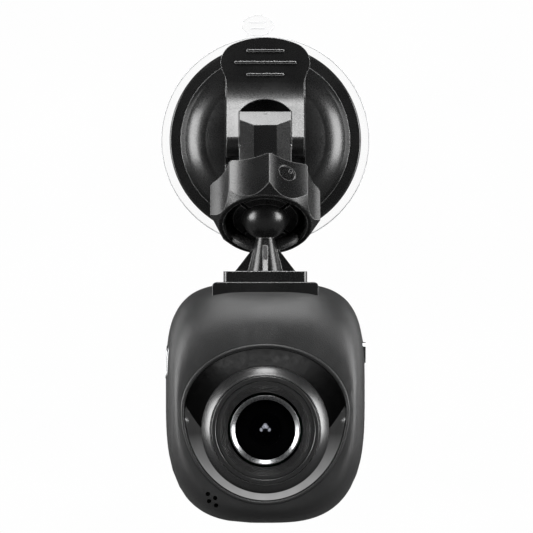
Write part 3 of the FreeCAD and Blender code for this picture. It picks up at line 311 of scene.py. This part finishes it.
def rides(thing, node, *replaced):
    """Hangs a piece on a CAD node's body, in place of the replaced nodes; a bare piece gets its material."""
    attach(thing, frame["nodes"][node]["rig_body"])
    if not thing.data.materials:
        thing.data.materials.append(MATERIALS[SLOTS[node]])
    if replaced:
        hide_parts(*replaced)


def new_piece(name, work):
    """A mesh object from a bmesh."""
    mesh = bpy.data.meshes.new(name)
    work.to_mesh(mesh)
    work.free()
    thing = bpy.data.objects.new(name, mesh)
    bpy.context.scene.collection.objects.link(thing)
    return thing


def smooth(thing, degrees):
    """Smooth shading, broken at edges sharper than the angle."""
    mesh = thing.data
    mesh.shade_smooth()
    work = bmesh.new()
    work.from_mesh(mesh)
    limit = math.radians(degrees)
    for edge in work.edges:
        edge.smooth = len(edge.link_faces) == 2 and edge.calc_face_angle(0.0) < limit
    work.to_mesh(mesh)
    work.free()
    return thing


def welded(node):
    """A copy of a CAD node's mesh with its doubled vertices joined."""
    work = bmesh.new()
    work.from_mesh(frame["nodes"][node].data)
    bmesh.ops.remove_doubles(work, verts=work.verts, dist=0.002 * MM)
    return work


def circle(count):
    """Evenly spaced angles once round, in radians."""
    return [2 * math.pi * i / count for i in range(count)]


def skin(work, rings, loop=True, closed=True):
    """Faces between rows of vertices, their normals made to agree. A loop joins the last row to the first;
    closed rows are rings."""
    for i in range(len(rings) if loop else len(rings) - 1):
        first, second = rings[i], rings[(i + 1) % len(rings)]
        for j in range(len(first) if closed else len(first) - 1):
            k = (j + 1) % len(first)
            work.faces.new((first[j], first[k], second[k], second[j]))
    bmesh.ops.recalc_face_normals(work, faces=work.faces)


def turned(name, profile, level, segments=256):
    """A ring turned about the lens axis from (y, radius) stations in millimetres."""
    work = bmesh.new()
    rings = []
    for depth, radius in profile:
        reach = radius * MM
        rings.append([work.verts.new((reach * math.cos(a), depth * MM, level + reach * math.sin(a)))
                      for a in circle(segments)])
    skin(work, rings, loop=False)
    return smooth(new_piece(name, work), 25.0)


# ---- Case --------------------------------------------------------------------------------------

# The case's outline in millimetres: its widest section, and the egg that it narrows to at the front rim.
CASE_HALF_WIDTH, CASE_RISE, CASE_FALL = 25.0, 28.4, 31.8
CASE_LEVEL, CASE_MIDDLE, CASE_FRONT, CASE_BACK_DEPTH = -65.2, -27.5, -44.5, 14.0
EGG_HALF_WIDTH, EGG_RISE, EGG_FALL, EGG_LEVEL = 21.0, 16.4, 23.5, -68.1
OUTLINE_POWERS = (3.8, 3.05)         # above and below the level
FRONT_POWER, BACK_POWER = 2.4, 4.0
SKIN_REACH = 0.4                     # a face this near to the outline lies on the outside
SKIN_AGREEMENT = 0.75                # and its normal agrees with the outline's at least this much
RIM_INSET, RIM_RADIUS, RIM_SUNK = 0.5, 0.45, 0.1


def case_field(p):
    """How far points (millimetres) lie outside the case's smooth outline at their own depth, as a share."""
    x, y, z = p.T
    ahead = np.clip((CASE_MIDDLE - y) / (CASE_MIDDLE - CASE_FRONT), 0, 0.9999)
    share = 1 - (1 - ahead ** FRONT_POWER) ** (1 / FRONT_POWER)
    behind = np.clip((y - CASE_MIDDLE) / CASE_BACK_DEPTH, 0, 0.99)
    scale = (1 - behind ** BACK_POWER) ** (1 / BACK_POWER)
    level = CASE_LEVEL + (EGG_LEVEL - CASE_LEVEL) * share
    across = (CASE_HALF_WIDTH * scale) * (1 - share) + EGG_HALF_WIDTH * share
    above = z >= level
    largest = np.where(above, CASE_RISE, CASE_FALL) * scale
    height = largest * (1 - share) + np.where(above, EGG_RISE, EGG_FALL) * share
    power = np.where(above, OUTLINE_POWERS[0], OUTLINE_POWERS[1]) * (1 - share) + 2.0 * share
    return (np.abs(x / across) ** power + np.abs((z - level) / height) ** power) ** (1 / power) - 1


def case_shell(node):
    """A copy of a shell whose outside takes its shading from the case's own smooth outline."""
    thing = bpy.data.objects.new(node + "_fine", frame["nodes"][node].data.copy())
    bpy.context.scene.collection.objects.link(thing)
    mesh = thing.data
    points = np.array([v.co for v in mesh.vertices]) / MM
    away = case_field(points) * CASE_HALF_WIDTH
    step = 0.05
    slope = np.stack([case_field(points + offset) - case_field(points - offset)
                      for offset in np.eye(3) * step], axis=1)
    slope /= np.maximum(np.linalg.norm(slope, axis=1, keepdims=True), 1e-9)
    normals = np.array([n.vector for n in mesh.corner_normals])
    for face in mesh.polygons:
        corners = list(face.vertices)
        outside = np.abs(away[corners]).max() < SKIN_REACH
        if outside and (slope[corners] @ np.array(face.normal)).min() > SKIN_AGREEMENT:
            for loop, vertex in zip(face.loop_indices, corners):
                normals[loop] = slope[vertex]
    mesh.normals_split_custom_set([tuple(n) for n in normals])
    rides(thing, node, node)


def egg(angle, inset):
    """A point (x, z) in millimetres on the front rim's outline, moved in by inset."""
    across, up = math.cos(angle), math.sin(angle)
    height = (EGG_RISE if up >= 0 else EGG_FALL) - inset
    reach = 1 / math.hypot(across / (EGG_HALF_WIDTH - inset), up / height)
    return reach * across, EGG_LEVEL + reach * up


def rim_bead():
    """The rounded lip of the front shell, round the lens panel."""
    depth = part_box("front_shell")[0].y / MM + RIM_SUNK
    work = bmesh.new()
    rings = []
    for angle in circle(240):
        ring = []
        for turn in circle(12):
            x, z = egg(angle, RIM_INSET + RIM_RADIUS * math.cos(turn))
            ring.append(work.verts.new((x * MM, (depth - RIM_RADIUS * math.sin(turn)) * MM, z * MM)))
        rings.append(ring)
    skin(work, rings)
    rides(smooth(new_piece("front_rim", work), 60), "front_shell")


# ---- Lens --------------------------------------------------------------------------------------

PANEL_INSET = 1.12           # the panel's edge, in from the front rim's outline
PANEL_DROP = 1.35            # from the rim down to the flat round the barrel
PANEL_TUCK = 0.2             # the flat runs this far under the barrel
DISH_FADE = 17.0             # degrees of elevation by which the slope has narrowed to its least
LEAST_SLOPE = 0.05           # share of the width that the slope keeps there
SLOPE_STEPS = 16
CRESCENT_RISE = 5.5          # the crescent ends this far above the lens axis
FLAT_NORMAL = -0.995         # a face looks straight ahead when its normal's y is no more than this


def panel(level, base):
    """Glossy panel: a flat face round the barrel, dished up to the rim in a crescent below it."""
    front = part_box("lens_bezel")[0].y / MM
    work = bmesh.new()
    rings = []
    for angle in circle(288):
        x, z = egg(angle, PANEL_INSET)
        rise = z - level / MM
        away = math.hypot(x, rise)
        width = away - (base - PANEL_TUCK)
        elevation = math.degrees(math.asin(rise / away))
        reach = width * min(max((DISH_FADE - elevation) / DISH_FADE, LEAST_SLOPE), 1.0)
        insets = [reach * j / (SLOPE_STEPS - 1) for j in range(SLOPE_STEPS)]
        stations = [(inset, inset / reach) for inset in insets] + [(width, 1.0)]
        ring = []
        for inset, ease in stations:
            scale = (away - inset) / away
            depth = front + PANEL_DROP * ease
            ring.append(work.verts.new((x * scale * MM, depth * MM, level + rise * scale * MM)))
        rings.append(ring)
    skin(work, rings, closed=False)
    if sum(face.normal.y for face in work.faces) > 0:
        bmesh.ops.reverse_faces(work, faces=work.faces)
    for face in work.faces:
        sloped = face.normal.y > FLAT_NORMAL
        # the sloped faces low in the crescent take the material with the painted reflection
        face.material_index = int(sloped and face.calc_center_median().z < level + CRESCENT_RISE * MM)
    thing = smooth(new_piece("lens_bezel_fine", work), 12)
    thing.data.materials.append(MATERIALS["gloss_panel"])
    thing.data.materials.append(MATERIALS["crescent"])
    rides(thing, "lens_bezel", "lens_bezel")


GROOVES = 5                  # fine steps inside the barrel's mouth
GROOVE_DEPTH, GROOVE_WIDTH = 0.16, 0.36


def barrel(nose, base, level):
    """The ringed barrel, from its foot over the nose and down the grooved funnel to the lens."""
    profile = [(nose + 4.75, base), (nose + 2.6, base - 0.1), (nose + 0.6, base - 1.7),
               (nose + 0.35, base - 2.15), (nose + 0.12, base - 2.24), (nose, base - 2.36),
               (nose, base - 2.4), (nose + 0.5, base - 2.44), (nose + 0.5, base - 2.6),
               (nose + 0.05, base - 2.64), (nose, base - 2.72), (nose, base - 3.55),
               (nose + 0.06, base - 3.62), (nose + 0.55, base - 3.66), (nose + 0.55, base - 3.84),
               (nose + 0.25, base - 3.88), (nose + 0.25, base - 4.0), (nose + 0.42, base - 4.75)]
    depth, radius = profile[-1]
    for _ in range(GROOVES):
        profile += [(depth + 0.4, radius - 0.03), (depth + 0.4, radius - 0.13), (depth + 0.05, radius - 0.16),
                    (depth, radius - 0.2), (depth + 0.02, radius - 0.3)]
        depth, radius = depth + GROOVE_DEPTH, radius - GROOVE_WIDTH
    profile += [(depth + 0.1, base - 6.6), (depth + 0.5, base - 6.65), (depth + 1.6, base - 6.65)]
    rides(turned("lens_barrel_fine", profile, level), "lens_barrel", "lens_barrel")


def retaining_ring(level):
    """The bevelled metal ring round the front lens."""
    low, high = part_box("lens_ring")
    face = low.y / MM
    outer = (high.x - low.x) / 2 / MM
    profile = [(face + 1.2, outer), (face + 0.12, outer), (face, outer - 0.12), (face + 0.05, outer - 0.3),
               (face + 0.75, outer - 1.05), (face + 0.85, outer - 1.15), (face + 1.2, outer - 1.15)]
    rides(turned("lens_ring_fine", profile, level), "lens_ring", "lens_ring")


def inner_element(level):
    """The small domed element that shows deep in the lens, standing on the aperture stop."""
    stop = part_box("aperture_stop")[0].y / MM
    height, radius, steps, pinhole = 1.6, 1.75, 24, 0.001
    profile = [(stop - height * math.cos(a), radius * math.sin(a) + pinhole)
               for a in (math.pi / 2 * i / steps for i in range(steps + 1))]
    dome = turned("rear_lens_fine", profile, level, 96)
    dome.data.materials.append(MATERIALS["element_glass"])
    rides(dome, "rear_lens", "rear_lens")


def lens_parts():
    """The glossy panel and the turned parts of the lens, on one axis."""
    low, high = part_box("lens_barrel")
    level = (low.z + high.z) / 2
    base = (high.x - low.x) / 2 / MM
    barrel(low.y / MM, base, level)
    panel(level, base)
    retaining_ring(level)
    inner_element(level)


# ---- Fine rims ---------------------------------------------------------------------------------

def tube(name, points, radius):
    """A closed round bead through the points, in millimetres."""
    leaning = Vector((0.3, 0.9, 0.31))       # no bead here runs this way
    work = bmesh.new()
    rings = []
    for i, point in enumerate(points):
        along = (Vector(points[(i + 1) % len(points)]) - Vector(points[i - 1])).normalized()
        across = along.cross(leaning).normalized()
        beyond = along.cross(across)
        spokes = [radius * (across * math.cos(a) + beyond * math.sin(a)) for a in circle(8)]
        rings.append([work.verts.new((Vector(point) + spoke) * MM) for spoke in spokes])
    skin(work, rings)
    return smooth(new_piece(name, work), 60)


def case_side(y, z, side):
    """How far out the case's skin lies at this depth and level, in millimetres."""
    near, far = 5.0, 27.0
    for _ in range(30):
        middle = (near + far) / 2
        if case_field(np.array([[side * middle, y, z]]))[0] < 0:
            near = middle
        else:
            far = middle
    return side * near


def usb_rim():
    """The bright lip of the power socket, lying on the skin of the case."""
    low, high = (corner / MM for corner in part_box("usb_port"))
    half_y, half_z = 3.2, (high.z - low.z) / 2 + 0.1
    corner_power, proud = 8, 0.12
    points = []
    for angle in circle(64):
        across, up = math.cos(angle), math.sin(angle)
        stretch = (abs(across) ** corner_power + abs(up) ** corner_power) ** (-1 / corner_power)
        y = high.y - half_y + half_y * across * stretch
        z = (low.z + high.z) / 2 + half_z * up * stretch
        points.append((case_side(y, z, -1) + proud, y, z))
    bead = tube("usb_rim", points, 0.25)
    bead.data.materials.append(MATERIALS["button_chrome"])
    rides(bead, "usb_port")


TAB_SIDE, TAB_LEVEL = -1.95, 29.8        # centre of the pull tab
TAB_HALF_WIDTH, TAB_HALF_HEIGHT = 4.3, 2.7
RIB_LEVEL, RIB_HALF_WIDTH = 0.8, 2.1


def sheet_rims():
    """The thicker edge of the clear sheet, and the outline and two grip ribs of its pull tab."""
    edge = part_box("suction_membrane")[1].x
    radius = edge / MM - 0.12
    edge_zone = (edge - 0.4 * MM) ** 2
    depth = min(v.co.y for v in frame["nodes"]["suction_membrane"].data.vertices
                if v.co.x ** 2 + v.co.z ** 2 > edge_zone) / MM
    ring = [(radius * math.cos(a), depth, radius * math.sin(a)) for a in circle(180)]
    bow = (TAB_HALF_WIDTH ** 2 + TAB_HALF_HEIGHT ** 2) / (2 * TAB_HALF_HEIGHT)
    half_angle = math.asin(TAB_HALF_WIDTH / bow)
    arc = [(bow * math.sin(a), bow * math.cos(a) - bow + TAB_HALF_HEIGHT)
           for a in (half_angle * (i / 12 - 1) for i in range(25))]
    outline = arc + [(-x, -z) for x, z in arc[1:-1]]
    tab = [(TAB_SIDE + x, depth, TAB_LEVEL + z) for x, z in outline]
    pieces = [tube("sheet_edge", ring, 0.13), tube("tab_edge", tab, 0.1)]
    for name, level in (("tab_rib_upper", RIB_LEVEL), ("tab_rib_lower", -RIB_LEVEL)):
        rib = [(TAB_SIDE + RIB_HALF_WIDTH * math.cos(a), depth - 0.3, TAB_LEVEL + level + 0.1 * math.sin(a))
               for a in circle(24)]
        pieces.append(tube(name, rib, 0.08))
    for piece in pieces:
        piece.data.materials.append(MATERIALS["sheet_edge"])
        rides(piece, "suction_membrane")


# ---- Soft parts --------------------------------------------------------------------------------

BEND_RADIUS = 0.0215         # in metres: the clear sheet's share towards the plunger is reckoned inside this radius, but not used


def follow_plunger(node, sharp):
    """A smooth-shaded copy of a soft CAD node, with its slot's material, in place of the node."""
    thing = smooth(new_piece(node + "_fine", welded(node)), sharp)
    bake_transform(thing)
    thing.data.materials.append(MATERIALS[SLOTS[node]])
    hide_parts(node)
    return thing


def soft_parts():
    """Smooth-shaded copies of the clear sheet and the spring; each sheet vertex's share towards the plunger
    is worked out but not used.
    """
    sheet = follow_plunger("suction_membrane", 30)
    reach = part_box("plunger")[1].x
    for vertex in sheet.data.vertices:
        share = (BEND_RADIUS - math.hypot(vertex.co.x, vertex.co.z)) / (BEND_RADIUS - reach)
        share = min(max(share, 0.0), 1.0)
    follow_plunger("plunger_spring", 50)


# ---- Light, floor and camera -------------------------------------------------------------------

def area_light(name, place, target, size, power):
    """A rectangular lamp at a place, aimed at the target."""
    lamp = bpy.data.lights.new(name, "AREA")
    lamp.shape = "RECTANGLE"
    lamp.size, lamp.size_y = size
    lamp.energy = power
    thing = bpy.data.objects.new(name, lamp)
    thing.location = place
    thing.rotation_euler = (Vector(target) - Vector(place)).to_track_quat("-Z", "Y").to_euler()
    bpy.context.scene.collection.objects.link(thing)


def studio():
    """White surround for the eye, dim for the object; soft boxes at the sides, behind and above; a card."""
    world = bpy.data.worlds.new("studio")
    bpy.context.scene.world = world
    world.use_nodes = True
    tree = world.node_tree
    tree.nodes.clear()
    path = tree.nodes.new("ShaderNodeLightPath")
    shown = tree.nodes.new("ShaderNodeBackground")
    shown.inputs["Color"].default_value = (1, 1, 1, 1)
    dim = tree.nodes.new("ShaderNodeBackground")
    dim.inputs["Color"].default_value = (0.008, 0.008, 0.008, 1)
    mixed = tree.nodes.new("ShaderNodeMixShader")
    output = tree.nodes.new("ShaderNodeOutputWorld")
    tree.links.new(path.outputs["Is Camera Ray"], mixed.inputs[0])
    tree.links.new(dim.outputs[0], mixed.inputs[1])
    tree.links.new(shown.outputs[0], mixed.inputs[2])
    tree.links.new(mixed.outputs[0], output.inputs["Surface"])
    middle = (0.0, -0.02, -0.03)
    for side in (-1, 1):
        area_light(f"side_box_{side}", (side * 0.6, -0.25, 0.02), middle, (0.36, 0.5), 7.0)
        area_light(f"rim_box_{side}", (side * 0.5, 0.3, 0.1), middle, (0.2, 0.5), 0.9)
    area_light("top_box", (0.0, -0.04, 0.6), middle, (0.2, 0.36), 2.7)
    area_light("high_front_box", (0.0, -0.44, 0.5), middle, (0.26, 0.2), 3.2)
    area_light("brow_card", (0.0, CARD_DEPTH, CARD_LEVEL), (0.0, 0.0, CARD_LEVEL), (0.05, 0.008), 0.003)


FLOOR_LEVEL, FLOOR_REACH, WALL_TOP = -0.16, 3.0, 2.5
RISE_START, RISE_RADIUS = 0.5, 0.3         # where the floor starts to rise, and how round the rise is


def floor():
    """A pale floor that rises into a pale wall behind; it is darker to the object than to the eye."""
    work = bmesh.new()
    centre = FLOOR_LEVEL + RISE_RADIUS
    outline = [(-FLOOR_REACH, FLOOR_LEVEL), (RISE_START, FLOOR_LEVEL)]
    outline += [(RISE_START + RISE_RADIUS * math.sin(a), centre - RISE_RADIUS * math.cos(a))
                for a in (math.pi / 2 * i / 16 for i in range(1, 17))]
    outline += [(RISE_START + RISE_RADIUS, WALL_TOP)]
    rows = [[work.verts.new((x, y, z)) for x in (-FLOOR_REACH, FLOOR_REACH)] for y, z in outline]
    for first, second in zip(rows, rows[1:]):
        work.faces.new((first[0], first[1], second[1], second[0]))
    sweep = new_piece("floor", work)
    sweep.data.shade_smooth()
    n = Nodes("pale_floor")
    pale = n.mix(n.noise(60.0), grey(0.985), grey(1.0))
    seen = n.add("Emission", {"Color": pale, "Strength": 1.0})
    lit = n.add("BsdfDiffuse", {"Color": grey(0.1)})
    eye = n.add("LightPath").outputs["Is Camera Ray"]
    both = n.add("MixShader", {0: eye, 1: lit.outputs[0], 2: seen.outputs[0]})
    n.tree.links.new(both.outputs[0], n.output.inputs["Surface"])
    sweep.data.materials.append(n.material)


def camera():
    """The view camera, level and straight ahead, at its distance from the ball joint."""
    low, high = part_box("ball_stem")
    lens = bpy.data.cameras.new("view")
    lens.sensor_width = SENSOR_WIDTH
    lens.lens = SENSOR_WIDTH * VIEW_DISTANCE / VIEW_WIDTH
    thing = bpy.data.objects.new("view", lens)
    thing.location = (VIEW_SIDE, (low.y + high.y) / 2 - VIEW_DISTANCE, VIEW_HEIGHT)
    thing.rotation_euler = (math.pi / 2, 0, 0)
    bpy.context.scene.collection.objects.link(thing)
    bpy.context.scene.camera = thing


def colour_management():
    """Plain display colours, so that white stays white."""
    bpy.context.scene.view_settings.view_transform = "Standard"


dress_frame()
for shell in ("front_shell", "rear_cover"):
    case_shell(shell)
rim_bead()
lens_parts()
soft_parts()
usb_rim()
sheet_rims()
studio()
floor()
camera()
colour_management()
